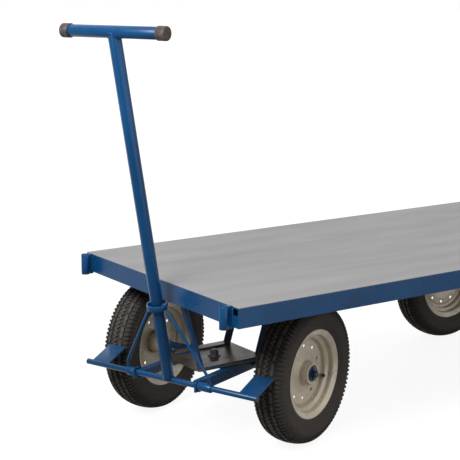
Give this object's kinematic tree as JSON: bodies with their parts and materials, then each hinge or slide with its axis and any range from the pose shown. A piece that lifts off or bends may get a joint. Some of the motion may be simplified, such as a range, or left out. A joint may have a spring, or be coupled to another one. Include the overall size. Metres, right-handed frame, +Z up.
{
  "type": "platform trolley",
  "caption": "Flat-deck platform trolley on pneumatic wheels; a tipping T-handle steers the front bogie and presses brake plates on the front tyres.",
  "frame": {"origin": "on the floor, under the middle of the box around the trolley at rest", "axes": "+X forward to the handle end, +Y to the trolley's left, +Z up"},
  "size_m": [1.9593, 0.8, 1.1676],
  "materials": {
    "blue_paint": "gloss enamel over welded steel",
    "deck_steel": "light grey sheet, satin, faintly streaked",
    "plate_steel": "dark greased steel plate",
    "zinc": "dull zinc plated",
    "cap_plastic": "moulded brown-black end caps",
    "tyre": "block tread, dusty black rubber",
    "tube_rubber": "smooth black rubber",
    "rim_paint": "grey-beige enamel on pressed steel",
    "bearing_steel": "greased roller cages"
  },
  "bodies": {
    "chassis": {"deck_sheet": "deck_steel", "front_beam": "blue_paint", "rear_beam": "blue_paint", "side_beam_left": "blue_paint", "side_beam_right": "blue_paint", "cross_members": "blue_paint", "stake_sockets": "blue_paint", "support_strap_left": "blue_paint", "support_strap_right": "blue_paint", "turntable_plate": "plate_steel", "king_bolt": "zinc", "king_washer": "zinc", "king_nut": "zinc", "rear_strap_left": "blue_paint", "rear_strap_right": "blue_paint", "rear_axle": "blue_paint", "rear_axle_washers": "blue_paint", "rear_axle_collars": "blue_paint", "rear_axle_pins": "zinc"},
    "bogie": {"bogie_plate": "blue_paint", "thrust_disc": "plate_steel", "bogie_member_left": "blue_paint", "bogie_member_right": "blue_paint", "pivot_bracket_left": "blue_paint", "pivot_bracket_right": "blue_paint", "front_axle": "blue_paint", "front_axle_washers": "blue_paint", "front_axle_collars": "blue_paint", "front_axle_pins": "zinc"},
    "handle": {"crossbar": "blue_paint", "pivot_sleeve_left": "blue_paint", "pivot_sleeve_right": "blue_paint", "handle_tube": "blue_paint", "tee_grip": "blue_paint", "end_caps": "cap_plastic", "brace_ring": "blue_paint", "brace_rods": "blue_paint", "brake_plate_left": "blue_paint", "brake_plate_right": "blue_paint"},
    "front_left_wheel": {"front_left_tyre": "tyre", "front_left_inner_tube": "tube_rubber", "front_left_rim": "rim_paint", "front_left_hub": "rim_paint", "front_left_bearings": "bearing_steel"},
    "front_right_wheel": {"front_right_tyre": "tyre", "front_right_inner_tube": "tube_rubber", "front_right_rim": "rim_paint", "front_right_hub": "rim_paint", "front_right_bearings": "bearing_steel"},
    "rear_left_wheel": {"rear_left_tyre": "tyre", "rear_left_inner_tube": "tube_rubber", "rear_left_rim": "rim_paint", "rear_left_hub": "rim_paint", "rear_left_bearings": "bearing_steel"},
    "rear_right_wheel": {"rear_right_tyre": "tyre", "rear_right_inner_tube": "tube_rubber", "rear_right_rim": "rim_paint", "rear_right_hub": "rim_paint", "rear_right_bearings": "bearing_steel"}
  },
  "joints": [
    {"name": "steer_swivel", "type": "hinge", "parent": "chassis", "child": "bogie", "pos_m": [0.51383, 0, 0.218], "axis": [0, 0, 1], "range_deg": [-51, 10]},
    {"name": "handle_pivot", "type": "hinge", "parent": "bogie", "child": "handle", "pos_m": [0.71134, 0.07424, 0.202], "axis": [-0.3518, 0.9361, 0], "range_deg": [0, 88]},
    {"name": "front_left_spin", "type": "hinge", "parent": "bogie", "child": "front_left_wheel", "pos_m": [0.36383, 0.22287, 0.2], "axis": [-0.3518, 0.9361, 0], "continuous": true},
    {"name": "front_right_spin", "type": "hinge", "parent": "bogie", "child": "front_right_wheel", "pos_m": [0.54777, -0.2665, 0.2], "axis": [-0.3518, 0.9361, 0], "continuous": true},
    {"name": "rear_left_spin", "type": "hinge", "parent": "chassis", "child": "rear_left_wheel", "pos_m": [-0.71417, 0.352, 0.2], "axis": [0, 1, 0], "continuous": true},
    {"name": "rear_right_spin", "type": "hinge", "parent": "chassis", "child": "rear_right_wheel", "pos_m": [-0.71417, -0.352, 0.2], "axis": [0, 1, 0], "continuous": true}
  ]
}
